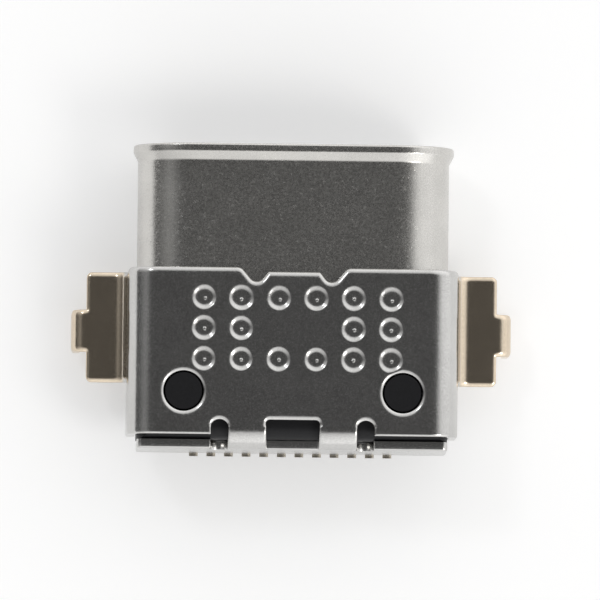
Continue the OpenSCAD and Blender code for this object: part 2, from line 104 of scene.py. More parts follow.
print("mid grey 808080 is", round(srgb("808080")[0], 4), "in linear light")

# %% [markdown]
# Pressed sheet parts have outlines with small rounded corners. `rounded` turns corners with a
# radius into a fine polyline: each corner becomes the arc that touches its two edges, which is
# how a press tool is drawn. Working in millimetres keeps these numbers readable.

# %% Rounded outlines in the plane
def rounded(corners, step=0.05):
    """Closed polyline through corners (x, y, radius). Straight stretches are split at `step`."""
    points = []
    count = len(corners)
    for i, (x, y, radius) in enumerate(corners):
        p = np.array((x, y), float)
        back = np.array(corners[i - 1][:2], float) - p
        ahead = np.array(corners[(i + 1) % count][:2], float) - p
        back /= np.linalg.norm(back)
        ahead /= np.linalg.norm(ahead)
        half = math.acos(float(np.clip(back @ ahead, -1, 1))) / 2
        if radius <= 0:
            points.append(p)
            continue
        middle = p + (back + ahead) / np.linalg.norm(back + ahead) * radius / math.sin(half)
        first = p + back * radius / math.tan(half) - middle
        turn = math.pi - 2 * half
        side = 1 if np.cross(-back, ahead) > 0 else -1
        pieces = max(3, math.ceil(turn / math.radians(12)), math.ceil(turn * radius / step))
        for k in range(pieces + 1):
            a = side * turn * k / pieces
            c, s = math.cos(a), math.sin(a)
            points.append(middle + (first[0] * c - first[1] * s, first[0] * s + first[1] * c))
    dense = []
    for i, p in enumerate(points):
        following = points[(i + 1) % len(points)]
        pieces = max(1, math.ceil(np.linalg.norm(following - p) / step))
        dense += [p + (following - p) * k / pieces for k in range(pieces)]
    return np.array(dense)


def circle(x, y, radius, pieces=64):
    """A round hole as a closed polyline."""
    angles = -2 * np.pi * np.arange(pieces) / pieces
    return np.column_stack((x + radius * np.cos(angles), y + radius * np.sin(angles)))


print("a 1 mm square with rounded corners has",
      len(rounded([(0, 0, 0.1), (1, 0, 0.1), (1, 1, 0.1), (0, 1, 0.1)])), "points")

# %% [markdown]
# ## The cover's flat blank
# The real cover is punched flat and then folded, so it is made the same way here. `p` runs across
# the sheet from the middle, measured along its outer face, and `q` is the depth behind the mouth.
# The folds are known before the cut: roof, round shoulder, wall, wing and leg follow each other
# along `p`, and the back plate hangs on the roof along `q`.

# %% Where the folds lie on the flat blank, in mm
TOP = COVER_TOP / MM
HALF = COVER_HALF / MM
SHEET_MM = SHEET / MM
MOUTH_MM = MOUTH_Y / MM
SEAT_Z = 1.13
SHOULDER_R = 0.85
WING_R = 0.40
LEG_R = 0.42
REAR_R = 0.60
LEAN = math.radians(87.6)
FOLD_Z = SEAT_Z + SHEET_MM + WING_R
WING_EDGE = HALF + 1.14
LEG_TIP_Z = float(cover_low[2]) / MM

roof_end = HALF - SHOULDER_R
wall_start = roof_end + SHOULDER_R * math.pi / 2
wall_end = wall_start + TOP - SHOULDER_R - FOLD_Z
wing_start = wall_end + WING_R * math.pi / 2
wing_end = wing_start + WING_EDGE - HALF - WING_R
leg_start = wing_end + LEG_R * math.pi / 2
leg_end = leg_start + SEAT_Z + SHEET_MM - LEG_R - LEG_TIP_Z
low_wall = wall_start + TOP - SHOULDER_R - SEAT_Z - 0.1

front = MOUTH_MM - float(cover_high[1]) / MM
plate_face = 8.65  # outer face of the back plate, as a depth behind the mouth
REAR_GAP = 0.14     # from the roof's rear edge to the back plate's inner face
bend_start = plate_face - REAR_R
rear_edge = plate_face - SHEET_MM - REAR_GAP
bend_end = bend_start + REAR_R * LEAN
plate_z = TOP - REAR_R + REAR_R * math.cos(LEAN)
print("blank is", round(2 * leg_end, 2), "mm wide, front edge at depth", round(front, 2), "mm")


# %% [markdown]
# The outline runs round the blank once. Only the right half is drawn; the left half is its mirror
# image. The window and the two peg holes are separate loops.

# %% Outline and holes of the blank
def on_plate(z):
    """Place on the blank of a height on the back plate's outer face."""
    return bend_end + (plate_z - z) / math.sin(LEAN)


WING_FRONT, WING_LEN = front + 0.06, 3.13
LEG_MIDDLE, LEG_HALF = WING_FRONT + WING_LEN / 2 + 0.1, 0.6
WING_REAR = WING_FRONT + WING_LEN
SLOT_X, SLOT_HALF, SLOT_R = 2.07, 0.245, 0.244
SLOT_IN, SLOT_OUT = SLOT_X - SLOT_HALF, SLOT_X + SLOT_HALF
PEG_X, PEG_DEPTH, HOLE_R = 3.1, 7.04, 0.555
WINDOW_HALF, PLATE_HALF = 0.75, 4.4
slot_front = plate_face - 0.81
slot_end = on_plate(TOP - 1.2)
window_end = on_plate(TOP - 0.63)
plate_shoulder = bend_end - 0.15
right_half = [
    (0.73, front + 0.12, 0.06), (0.945, front + 0.4, 0.22), (1.175, front + 0.4, 0.22),
    (1.51, front, 0.23), (wall_end, front, 0), (wall_end, WING_FRONT, 0),
    (wing_end, WING_FRONT, 0.16), (wing_end, LEG_MIDDLE - LEG_HALF, 0.03),
    (leg_end, LEG_MIDDLE - LEG_HALF, 0.05), (leg_end, LEG_MIDDLE + LEG_HALF, 0.05),
    (wing_end, LEG_MIDDLE + LEG_HALF, 0.03), (wing_end, WING_REAR, 0.16),
    (wall_end, WING_REAR, 0.05), (wall_end, WING_REAR + 0.14, 0.05),
    (low_wall, WING_REAR + 0.14, 0.05), (low_wall, rear_edge, 0.05),
    (SLOT_OUT, rear_edge, 0.03), (SLOT_OUT, slot_front, SLOT_R), (SLOT_IN, slot_front, SLOT_R),
    (SLOT_IN, slot_end, SLOT_R), (SLOT_OUT, slot_end, SLOT_R),
    (SLOT_OUT, plate_shoulder, 0.03), (PLATE_HALF, plate_shoulder, 0.16),
    (PLATE_HALF, bend_end + 1.47, 0.16),
]
left_half = [(-x, y, r) for x, y, r in reversed(right_half)]
outer_loop = rounded(right_half + left_half)
window_loop = rounded([(-WINDOW_HALF, slot_front, 0.1), (-WINDOW_HALF, window_end, 0.03),
                       (WINDOW_HALF, window_end, 0.03), (WINDOW_HALF, slot_front, 0.1)])
hole_loops = [circle(side * PEG_X, PEG_DEPTH, HOLE_R) for side in (-1, 1)]
cover_loops = [outer_loop, window_loop, *hole_loops]
print("the blank's edges have", sum(len(loop) for loop in cover_loops), "points")


# %% [markdown]
# ## From outline to sheet
# A punched edge isn't sharp on the side that the punch enters: the sheet is drawn in, and that
# rounded strip catches a bright line of light. So the flat mesh gets rings of points close to
# every edge, and their height follows a quarter round. Elsewhere the points stand in columns along
# the folds, so that the folds come out smooth. A constrained Delaunay triangulation joins them.

# %% Flat sheet with rounded upper edges
def edge_distance(points, loops, step=0.01):
    """Distance of each point to the nearest edge of the loops, by a search tree of edge points."""
    marks = []
    for loop in loops:
        for start, stop in zip(loop, np.roll(loop, -1, axis=0)):
            pieces = max(1, math.ceil(np.linalg.norm(stop - start) / step))
            marks += [start + (stop - start) * k / pieces for k in range(pieces)]
    tree = kdtree.KDTree(len(marks))
    for i, (x, y) in enumerate(marks):
        tree.insert((x, y, 0), i)
    tree.balance()
    return np.array([tree.find((x, y, 0))[2] for x, y in points])


def inside(points, loops):
    """True for each point inside the outline and outside its holes."""
    crossings = np.zeros(len(points), int)
    for loop in loops:
        for (x0, y0), (x1, y1) in zip(loop, np.roll(loop, -1, axis=0)):
            if y0 != y1:
                spans = (y0 > points[:, 1]) != (y1 > points[:, 1])
                x = x0 + (points[:, 1] - y0) * (x1 - x0) / (y1 - y0)
                crossings += spans & (points[:, 0] < x)
    return crossings % 2 == 1


def ring_points(loops, distances):
    """Points beside every edge, one ring for each distance, without those near another edge."""
    rings, wanted = [], []
    for loop in loops:
        along = np.roll(loop, -1, axis=0) - np.roll(loop, 1, axis=0)
        along /= np.linalg.norm(along, axis=1)[:, None]
        sideways = np.column_stack((-along[:, 1], along[:, 0]))
        for distance in distances:
            for sign in (-1, 1):
                rings.append(loop + sign * distance * sideways)
                wanted.append(np.full(len(loop), 0.9 * distance))
    rings, wanted = np.vstack(rings), np.concatenate(wanted)
    keep = inside(rings, loops)
    rings, wanted = rings[keep], wanted[keep]
    return rings[edge_distance(rings, loops) > wanted]


def flat_triangles(loops, free_points):
    """Points and triangles of the sheet, seen from above."""
    points, edges = [], []
    for loop in loops:
        base = len(points)
        points += [tuple(p) for p in loop]
        edges += [(base + i, base + (i + 1) % len(loop)) for i in range(len(loop))]
    points += [tuple(p) for p in free_points]
    found = plane_geometry.delaunay_2d_cdt([Vector(p) for p in points], edges, [], 0, 1e-6, False)
    xy = np.array([tuple(v) for v in found[0]])
    triangles = np.array(found[2])
    keep = inside(xy[triangles].mean(1), loops)
    return xy, triangles[keep]


print("distance test:", edge_distance(np.array([[0.0, 7.0]]), cover_loops).round(3), "mm")

# %% The cover's sheet, still flat
def fold_columns():
    """Columns of points along the folds, closer together where the sheet bends."""
    columns = []
    for start, radius in ((roof_end, SHOULDER_R), (wall_end, WING_R), (wing_end, LEG_R)):
        pieces = 16
        columns += list(start + radius * math.pi / 2 * np.arange(pieces + 1) / pieces)
    columns += list(np.arange(0.0, roof_end - 0.05, 0.16))
    columns += list(np.linspace(wall_start, wall_end, 7)[1:-1])
    columns += list(np.linspace(wing_start, wing_end, 6)[1:-1])
    columns += list(np.linspace(leg_start, leg_end, 6)[1:-1])
    columns = np.array(columns)
    return np.concatenate((columns, -columns[columns > 0]))


def fold_rows():
    """Depths of the points, closer together round the bend into the back plate."""
    rows = list(np.arange(front + 0.05, bend_start, 0.13))
    rows += list(bend_start + REAR_R * LEAN * np.arange(19) / 18)
    rows += list(np.arange(bend_end + 0.12, bend_end + 1.45, 0.15))
    return np.array(rows)


SPOT_R = 0.37
SPOT_STEP_X, SPOT_STEP_Q = 1.06, 0.87
SPOT_SHIFT, SPOT_FIRST = 0.1, 0.84
spot_xy = np.array([((column - 2.5) * SPOT_STEP_X + SPOT_SHIFT,
                     front + SPOT_FIRST + row * SPOT_STEP_Q)
                    for row in range(3) for column in range(6)
                    if row != 1 or abs(column - 2.5) > 1])
spot_rings = np.vstack([[(x, y)] + [(x + r * math.cos(a), y + r * math.sin(a))
                                    for r in np.linspace(0.03, SPOT_R + 0.04, 14)
                                    for a in np.arange(44) * 2 * math.pi / 44]
                        for x, y in spot_xy])

RINGS = (0.012, 0.028, 0.048, 0.072, 0.1, 0.135, 0.17)
rings = ring_points(cover_loops, RINGS)
grid = np.array([(p, q) for p in fold_columns() for q in fold_rows()])
grid = grid[inside(grid, cover_loops)]
grid = grid[edge_distance(grid, cover_loops) > RINGS[-1] + 0.03]
far_from_spots = np.sqrt(((grid[:, None] - spot_xy) ** 2).sum(2)).min(1) > SPOT_R + 0.08
spot_rings = spot_rings[edge_distance(spot_rings, cover_loops) > RINGS[-1] + 0.02]
cover_xy, cover_tris = flat_triangles(cover_loops,
                                      np.vstack((rings, grid[far_from_spots], spot_rings)))
print("flat cover:", len(cover_xy), "points,", len(cover_tris), "triangles,",
      len(spot_xy), "weld spots")


# %% [markdown]
# The upper face gets its rounded edges, the lower face is the same mesh turned over, and a wall of
# quads closes the sheet all round.

# %% Thickness and edges
def closed_sheet(xy, triangles, loops, roll_width, roll_depth):
    """Vertices and faces of a flat sheet whose upper face is at height 0, in mm."""
    gap = edge_distance(xy, loops)
    width = roll_width(xy)
    inward = np.clip(1 - gap / width, 0, 1)
    height = -roll_depth * (1 - np.sqrt(1 - inward ** 2)) * width / width.max()
    count = len(xy)
    upper = np.column_stack((xy, height))
    lower = np.column_stack((xy, np.full(count, -SHEET_MM)))
    corners = xy[triangles]
    area = np.cross(corners[:, 1] - corners[:, 0], corners[:, 2] - corners[:, 0])
    triangles = np.where(area[:, None] > 0, triangles, triangles[:, ::-1])
    sides = {}
    for a, b, c in triangles:
        for edge in ((a, b), (b, c), (c, a)):
            sides[edge] = True
    rim = [edge for edge in sides if (edge[1], edge[0]) not in sides]
    faces = [tuple(t) for t in triangles]
    faces += [tuple(t + count) for t in triangles[:, ::-1]]
    faces += [(a, a + count, b + count, b) for a, b in rim]
    return np.vstack((upper, lower)), faces


ROLL_REAR, ROLL_FRONT, ROLL_DEPTH = 0.08, 0.165, 0.09


def cover_roll(xy):
    """The punch draws the front edge in most and the rear edges least."""
    return np.where(xy[:, 1] > rear_edge - 0.25, ROLL_REAR, ROLL_FRONT)


def mesh_object(name, points, faces):
    """A mesh object from points in mm."""
    mesh = bpy.data.meshes.new(name)
    mesh.from_pydata([tuple(p) for p in np.asarray(points) * MM], [], [tuple(map(int, f)) for f in faces])
    mesh.validate()
    made = bpy.data.objects.new(name, mesh)
    bpy.context.scene.collection.objects.link(made)
    return made


flat_points, flat_faces = closed_sheet(cover_xy, cover_tris, cover_loops, cover_roll,
                                      ROLL_DEPTH)
flat_cover = mesh_object("flat_cover", flat_points, flat_faces)
print("closed blank:", len(flat_points), "points,", len(flat_faces), "faces")


# %% [markdown]
# ## Weld spots with Geometry Nodes
# A laser weld leaves a small dished crater with a steep rim and a pip in the middle. The sixteen
# spots differ a little, so a node tree measures the distance of each point of the sheet to its
# nearest spot, varies the spot's size with a fixed seed, and pushes the sheet down by a curve.

# %% A node tree for the weld spots
def new_tree(name, sockets):
    """A Geometry Nodes tree with named inputs; each socket is (name, kind, default)."""
    tree = bpy.data.node_groups.new(name, "GeometryNodeTree")
    tree.interface.new_socket("Geometry", in_out="INPUT", socket_type="NodeSocketGeometry")
    for label, kind, default in sockets:
        socket = tree.interface.new_socket(label, in_out="INPUT", socket_type=kind)
        if default is not None:
            socket.default_value = default
    tree.interface.new_socket("Geometry", in_out="OUTPUT", socket_type="NodeSocketGeometry")
    return tree, tree.nodes.new("NodeGroupInput"), tree.nodes.new("NodeGroupOutput")


def run_tree(target, tree, name, **values):
    """Runs the tree on an object and returns the result as a plain mesh object."""
    modifier = target.modifiers.new("tree", "NODES")
    modifier.node_group = tree
    for item in tree.interface.items_tree:
        if item.in_out == "INPUT" and item.name.replace(" ", "_") in values:
            modifier[item.identifier] = values[item.name.replace(" ", "_")]
    graph = bpy.context.evaluated_depsgraph_get()
    mesh = bpy.data.meshes.new_from_object(target.evaluated_get(graph), depsgraph=graph)
    target.modifiers.remove(modifier)
    mesh.name = name
    made = bpy.data.objects.new(name, mesh)
    bpy.context.scene.collection.objects.link(made)
    return made


spots_tree, given, result = new_tree("weld_spots", [
    ("Spots", "NodeSocketObject", None), ("Radius", "NodeSocketFloat", SPOT_R * MM),
    ("Depth", "NodeSocketFloat", 0.06 * MM), ("Seed", "NodeSocketInt", 5),
    ("Material", "NodeSocketMaterial", None)])
spots = node_in(spots_tree, "GeometryNodeObjectInfo", Object=given.outputs["Spots"])
here = node_in(spots_tree, "GeometryNodeInputPosition")
nearest = node_in(spots_tree, "GeometryNodeSampleNearest", {"domain": "POINT"},
                  Geometry=spots.outputs["Geometry"], Sample_Position=here.outputs[0])
centre = node_in(spots_tree, "GeometryNodeSampleIndex", {"data_type": "FLOAT_VECTOR"},
                 Geometry=spots.outputs["Geometry"], Value=here.outputs[0],
                 Index=nearest.outputs[0])
wide = node_in(spots_tree, "FunctionNodeRandomValue", {"data_type": "FLOAT"},
               _2=0.95, _3=1.05, ID=nearest.outputs[0], Seed=given.outputs["Seed"])
shift = node_in(spots_tree, "FunctionNodeRandomValue", {"data_type": "FLOAT_VECTOR"},
                _0=(-0.05 * MM, -0.1 * MM, 0), _1=(0.0, -0.03 * MM, 0),
                ID=nearest.outputs[0], Seed=given.outputs["Seed"])
reach = node_in(spots_tree, "ShaderNodeMath", {"operation": "MULTIPLY"},
                _0=wide.outputs[1], _1=given.outputs["Radius"])
offset = node_in(spots_tree, "ShaderNodeVectorMath", {"operation": "SUBTRACT"},
                 _0=here.outputs[0], _1=centre.outputs[0])
flatten = node_in(spots_tree, "ShaderNodeVectorMath", {"operation": "MULTIPLY"},
                  _0=offset.outputs[0], _1=(1, 1, 0))
away = node_in(spots_tree, "ShaderNodeVectorMath", {"operation": "LENGTH"},
               _0=flatten.outputs[0])
share = node_in(spots_tree, "ShaderNodeMath", {"operation": "DIVIDE", "use_clamp": True},
                _0=away.outputs["Value"], _1=reach.outputs[0])
rest = node_in(spots_tree, "ShaderNodeMath", {"operation": "SUBTRACT"}, _0=1.0, _1=share.outputs[0])
slide = node_in(spots_tree, "ShaderNodeVectorMath", {"operation": "SCALE"},
                _0=shift.outputs[0], Scale=rest.outputs[0])
leaning = node_in(spots_tree, "ShaderNodeVectorMath", {"operation": "ADD"},
                  _0=flatten.outputs[0], _1=slide.outputs[0])
away_leaning = node_in(spots_tree, "ShaderNodeVectorMath", {"operation": "LENGTH"},
                       _0=leaning.outputs[0])
place = node_in(spots_tree, "ShaderNodeMath", {"operation": "DIVIDE", "use_clamp": True},
                _0=away_leaning.outputs["Value"], _1=reach.outputs[0])
crater = node_in(spots_tree, "ShaderNodeFloatCurve", Value=place.outputs[0])
curve = crater.mapping.curves[0]
curve.points[0].location = (0.0, 0.62)
curve.points[1].location = (1.0, 0.0)
for x, y in ((0.06, 0.66), (0.14, 0.9), (0.3, 0.98), (0.56, 0.9), (0.74, 0.58), (0.9, 0.14)):
    curve.points.new(x, y)
crater.mapping.update()
down = node_in(spots_tree, "ShaderNodeMath", {"operation": "MULTIPLY"},
               _0=crater.outputs[0], _1=given.outputs["Depth"])
lower = node_in(spots_tree, "ShaderNodeMath", {"operation": "MULTIPLY"}, _0=down.outputs[0], _1=-1.0)
drop = node_in(spots_tree, "ShaderNodeCombineXYZ", Z=lower.outputs[0])
height = node_in(spots_tree, "ShaderNodeSeparateXYZ", Vector=here.outputs[0])
on_top = node_in(spots_tree, "FunctionNodeCompare", {"data_type": "FLOAT", "operation": "GREATER_THAN"},
                 A=height.outputs["Z"], B=-SHEET / 2)
pressed = node_in(spots_tree, "GeometryNodeSetPosition", Geometry=given.outputs["Geometry"],
                  Selection=on_top.outputs[0], Offset=drop.outputs[0])
real = node_in(spots_tree, "GeometryNodeRealizeInstances", Geometry=pressed.outputs[0])
paint = node_in(spots_tree, "GeometryNodeSetMaterial", Geometry=real.outputs[0],
                Material=given.outputs["Material"])
spots_tree.links.new(paint.outputs[0], result.inputs[0])
print("weld tree has", len(spots_tree.nodes), "nodes")

# %% [markdown]
# ## Finishes
# The shell and the cover are stainless strip with a thin nickel plate. The shell is drawn, which
# leaves a fine orange-peel grain and many tiny specks; the cover is smoother. The wings and legs
# also carry a gold flash so that solder wets them. Each finish is built from the bare metal up.

# %% Materials
GOLD_FLASH = "dccdb8"


def new_material(name):
    """An empty node material with one principled shader."""
    made = bpy.data.materials.new(name)
    made.use_nodes = True
    made.node_tree.nodes.clear()
    shader = node_in(made.node_tree, "ShaderNodeBsdfPrincipled")
    output = node_in(made.node_tree, "ShaderNodeOutputMaterial", Surface=shader.outputs[0])
    output.location = (400, 0)
    return made, made.node_tree, shader


def millimetres(tree):
    """Object coordinates in millimetres."""
    place = node_in(tree, "ShaderNodeTexCoord")
    return node_in(tree, "ShaderNodeVectorMath", {"operation": "SCALE"},
                   _0=place.outputs["Object"], Scale=1 / MM).outputs[0]


def plated_steel(name, tone, roughness, grain, speck, gold_from=None):
    """Nickel-plated strip. Grain and specks are bump heights in mm; gold starts at |x| in mm."""
    made, tree, shader = new_material(name)
    at = millimetres(tree)
    peel = node_in(tree, "ShaderNodeTexNoise", Vector=at, Scale=5.5, Detail=3.0, Roughness=0.6)
    dust = node_in(tree, "ShaderNodeTexNoise", Vector=at, Scale=24.0, Detail=2.0, Roughness=0.7)
    cloud = node_in(tree, "ShaderNodeTexNoise", Vector=at, Scale=1.1, Detail=3.0)
    shade = node_in(tree, "ShaderNodeMapRange", Value=dust.outputs["Fac"],
                    From_Min=0.3, From_Max=0.7, To_Min=0.9, To_Max=1.08)
    drift = node_in(tree, "ShaderNodeMapRange", Value=cloud.outputs["Fac"],
                    From_Min=0.3, From_Max=0.7, To_Min=0.95, To_Max=1.05)
    both = node_in(tree, "ShaderNodeMath", {"operation": "MULTIPLY"},
                   _0=shade.outputs[0], _1=drift.outputs[0])
    colour = node_in(tree, "ShaderNodeMix", {"data_type": "RGBA", "blend_type": "MIX"},
                     Factor=0.0, _6=srgb(tone), _7=srgb(GOLD_FLASH))
    if gold_from:
        split = node_in(tree, "ShaderNodeSeparateXYZ", Vector=at)
        side = node_in(tree, "ShaderNodeMath", {"operation": "ABSOLUTE"}, _0=split.outputs["X"])
        edge = node_in(tree, "ShaderNodeMapRange", {"interpolation_type": "SMOOTHSTEP"},
                       Value=side.outputs[0], From_Min=gold_from, From_Max=gold_from + 0.12)
        tree.links.new(edge.outputs[0], colour.inputs[0])
    toned = node_in(tree, "ShaderNodeVectorMath", {"operation": "SCALE"},
                    _0=colour.outputs[2], Scale=both.outputs[0])
    tree.links.new(toned.outputs[0], shader.inputs["Base Color"])
    shader.inputs["Metallic"].default_value = 1.0
    dull = node_in(tree, "ShaderNodeMapRange", Value=dust.outputs["Fac"], From_Min=0.3,
                   From_Max=0.75, To_Min=roughness - 0.05, To_Max=roughness + 0.07)
    tree.links.new(dull.outputs[0], shader.inputs["Roughness"])
    coarse = node_in(tree, "ShaderNodeMath", {"operation": "MULTIPLY"},
                     _0=peel.outputs["Fac"], _1=grain)
    fine = node_in(tree, "ShaderNodeMath", {"operation": "MULTIPLY_ADD"},
                   _0=dust.outputs["Fac"], _1=speck, _2=coarse.outputs[0])
    nicks = node_in(tree, "ShaderNodeTexNoise", Vector=at, Scale=9.0, Detail=5.0, Roughness=0.7)
    nicked = node_in(tree, "ShaderNodeMapRange", Value=nicks.outputs["Fac"],
                     From_Min=0.6, From_Max=0.7, To_Min=0.0, To_Max=2.5 * speck)
    height = node_in(tree, "ShaderNodeMath", {"operation": "ADD"},
                     _0=fine.outputs[0], _1=nicked.outputs[0])
    bump = node_in(tree, "ShaderNodeBump", Height=height.outputs[0], Distance=MM, Strength=1.0)
    tree.links.new(bump.outputs[0], shader.inputs["Normal"])
    return made


def black_moulding():
    """Glass-filled liquid crystal polymer: near black, slightly grey where light grazes it."""
    made, tree, shader = new_material("black_lcp_moulding")
    at = millimetres(tree)
    grain = node_in(tree, "ShaderNodeTexNoise", Vector=at, Scale=12.0, Detail=4.0)
    shade = node_in(tree, "ShaderNodeValToRGB", Fac=grain.outputs["Fac"])
    shade.color_ramp.elements[0].color = srgb("0c0c0e")
    shade.color_ramp.elements[1].color = srgb("17171a")
    tree.links.new(shade.outputs[0], shader.inputs["Base Color"])
    shader.inputs["Roughness"].default_value = 0.5
    shader.inputs["Specular IOR Level"].default_value = 0.3
    bump = node_in(tree, "ShaderNodeBump", Height=grain.outputs["Fac"], Distance=0.004 * MM)
    tree.links.new(bump.outputs[0], shader.inputs["Normal"])
    return made


def gold_plate():
    """Gold over nickel on a stamped copper alloy: warm, smooth, faintly streaked along the strip."""
    made, tree, shader = new_material("gold_plated_contact")
    at = millimetres(tree)
    lengthwise = node_in(tree, "ShaderNodeMapping", Vector=at, Scale=(30.0, 1.2, 30.0))
    streak = node_in(tree, "ShaderNodeTexNoise", Vector=lengthwise.outputs[0], Scale=1.0, Detail=3.0)
    tone = node_in(tree, "ShaderNodeValToRGB", Fac=streak.outputs["Fac"])
    tone.color_ramp.elements[0].color = srgb("d9b266")
    tone.color_ramp.elements[1].color = srgb("eccb88")
    split = node_in(tree, "ShaderNodeSeparateXYZ", Vector=at)
    tail = node_in(tree, "ShaderNodeMapRange", Value=split.outputs["Y"],
                   From_Min=-3.7, From_Max=-2.6, To_Min=1.0, To_Max=0.0)
    colour = node_in(tree, "ShaderNodeMix", {"data_type": "RGBA"}, Factor=tail.outputs[0],
                     _6=tone.outputs[0], _7=srgb("b9b2a6"))
    tree.links.new(colour.outputs[2], shader.inputs["Base Color"])
    shader.inputs["Metallic"].default_value = 1.0
    shader.inputs["Roughness"].default_value = 0.28
    bump = node_in(tree, "ShaderNodeBump", Height=streak.outputs["Fac"], Distance=0.002 * MM)
    tree.links.new(bump.outputs[0], shader.inputs["Normal"])
    return made


cover_steel = plated_steel("nickel_plated_cover", "c9c8c6", 0.19, 0.0016, 0.0003, gold_from=4.72)
shell_steel = plated_steel("nickel_plated_shell", "cfcdc9", 0.25, 0.0024, 0.0006)
plate_steel = plated_steel("plain_steel_strip", "bfbdb8", 0.3, 0.001, 0.0006)
plastic = black_moulding()
gold = gold_plate()
print("finishes:", [m.name for m in bpy.data.materials])

# %% [markdown]
# With the finish ready, the weld tree runs on the flat cover. The result is then folded: each
# point's place on the blank says how far round each fold it lies.

# %% Weld and fold the cover
spot_marks = mesh_object("spot_marks", np.column_stack((spot_xy, np.zeros(len(spot_xy)))), [])
welded = run_tree(flat_cover, spots_tree, "cover_sheet", Spots=spot_marks, Material=cover_steel)


def folded(points):
    """Places of blank points (p, q, height), in mm, on the folded cover."""
    p, q, h = points.T
    a, side = np.abs(p), np.sign(p)
    turn = np.clip((a - roof_end) / SHOULDER_R, 0, math.pi / 2)
    x = np.minimum(a, roof_end) + (SHOULDER_R + h) * np.sin(turn)
    z = np.where(a < roof_end, TOP + h, TOP - SHOULDER_R + (SHOULDER_R + h) * np.cos(turn))
    z -= np.clip(a - wall_start, 0, None)
    on_wing = (a > wall_end) & (q < WING_REAR + 0.02)
    bend = np.clip((a - wall_end) / WING_R, 0, math.pi / 2)
    wing_x = HALF + WING_R - (WING_R - h) * np.cos(bend) + np.clip(a - wing_start, 0, None)
    wing_z = FOLD_Z - (WING_R - h) * np.sin(bend)
    down = np.clip((a - wing_end) / LEG_R, 0, math.pi / 2)
    leg_x = WING_EDGE + (LEG_R + h) * np.sin(down)
    leg_z = (SEAT_Z + SHEET_MM - LEG_R + (LEG_R + h) * np.cos(down)
             - np.clip(a - leg_start, 0, None))
    on_leg = on_wing & (a > wing_end)
    x = np.where(on_leg, leg_x, np.where(on_wing, wing_x, x))
    z = np.where(on_leg, leg_z, np.where(on_wing, wing_z, z))
    x, y = side * x, MOUTH_MM - q
    rear = (q > bend_end - 0.2) | ((q > bend_start) & (a < SLOT_X))
    tip = np.clip((q - bend_start) / REAR_R, 0, LEAN)
    beyond = q - bend_end
    beyond = np.where((beyond > 0) | (a > SLOT_X), beyond, 0)
    tip = np.where(rear & (a > SLOT_X), LEAN, tip)
    rear_y = bend_start + (REAR_R + h) * np.sin(tip) + beyond * math.cos(LEAN)
    rear_z = TOP - REAR_R + (REAR_R + h) * np.cos(tip) - beyond * math.sin(LEAN)
    x = np.where(rear, p, x)
    y = np.where(rear, MOUTH_MM - rear_y, y)
    z = np.where(rear, rear_z, z)
    return np.column_stack((x, y, z))


def reshape(target, points):
    """Moves an object's points to new places, in mm."""
    target.data.vertices.foreach_set("co", (points * MM).ravel())
    target.data.update()


def points_of(target):
    """An object's points as an array, in mm."""
    out = np.empty(len(target.data.vertices) * 3)
    target.data.vertices.foreach_get("co", out)
    return out.reshape(-1, 3) / MM


def finish_shading(target, angle=40):
    """Faces outwards and smooth, with every edge sharper than the angle kept sharp."""
    work = bmesh.new()
    work.from_mesh(target.data)
    bmesh.ops.remove_doubles(work, verts=work.verts, dist=1e-7)
    bmesh.ops.recalc_face_normals(work, faces=work.faces)
    for face in work.faces:
        face.smooth = True
    for edge in work.edges:
        edge.smooth = edge.calc_face_angle(0) < math.radians(angle)
    work.to_mesh(target.data)
    work.free()


reshape(welded, folded(points_of(welded)))
finish_shading(welded)
low, high = points_of(welded).min(0), points_of(welded).max(0)
print("folded cover spans", low.round(2), "to", high.round(2), "mm")
for spare in (flat_cover, spot_marks):
    bpy.data.objects.remove(spare)

# %% [markdown]
# ## The drawn shell
# One wall section runs round the mouth, so the shell is a path and a section: Curve to Mesh sweeps
# the flared lip and the straight wall in one go.

# %% Path, section and sweep of the shell
def poly_curve(name, points, closed):
    """A polyline curve object from points in mm."""
    data = bpy.data.curves.new(name, "CURVE")
    data.dimensions = "3D"
    line = data.splines.new("POLY")
    line.points.add(len(points) - 1)
    for knot, place in zip(line.points, points):
        knot.co = (*(np.asarray(place) * MM), 1)
    line.use_cyclic_u = closed
    made = bpy.data.objects.new(name, data)
    bpy.context.scene.collection.objects.link(made)
    return made


def mouth_path(radius, pieces=28):
    """The stadium that the shell's inner face follows, from the right side upwards."""
    reach = (OPENING_W - OPENING_H) / 2 / MM
    angles = np.linspace(-math.pi / 2, math.pi / 2, pieces + 1)
    right = [(reach + radius * math.cos(a), 0, AXIS_Z / MM + radius * math.sin(a)) for a in angles]
    left = [(-x, 0, 2 * AXIS_Z / MM - z) for x, _, z in right]
    flat = np.linspace(1, 0, 24)[1:-1]
    over = [(reach * (2 * t - 1), 0, right[-1][2]) for t in flat]
    under = [(reach * (1 - 2 * t), 0, right[0][2]) for t in flat]
    whole = right + over + left + under
    return whole[pieces // 2:] + whole[:pieces // 2]


sweep_tree, given, result = new_tree("swept_wall", [
    ("Section", "NodeSocketObject", None), ("Material", "NodeSocketMaterial", None)])
section = node_in(sweep_tree, "GeometryNodeObjectInfo", Object=given.outputs["Section"])
wall = node_in(sweep_tree, "GeometryNodeCurveToMesh", Curve=given.outputs["Geometry"],
               Profile_Curve=section.outputs["Geometry"])
real = node_in(sweep_tree, "GeometryNodeRealizeInstances", Geometry=wall.outputs[0])
paint = node_in(sweep_tree, "GeometryNodeSetMaterial", Geometry=real.outputs[0],
                Material=given.outputs["Material"])
sweep_tree.links.new(paint.outputs[0], result.inputs[0])

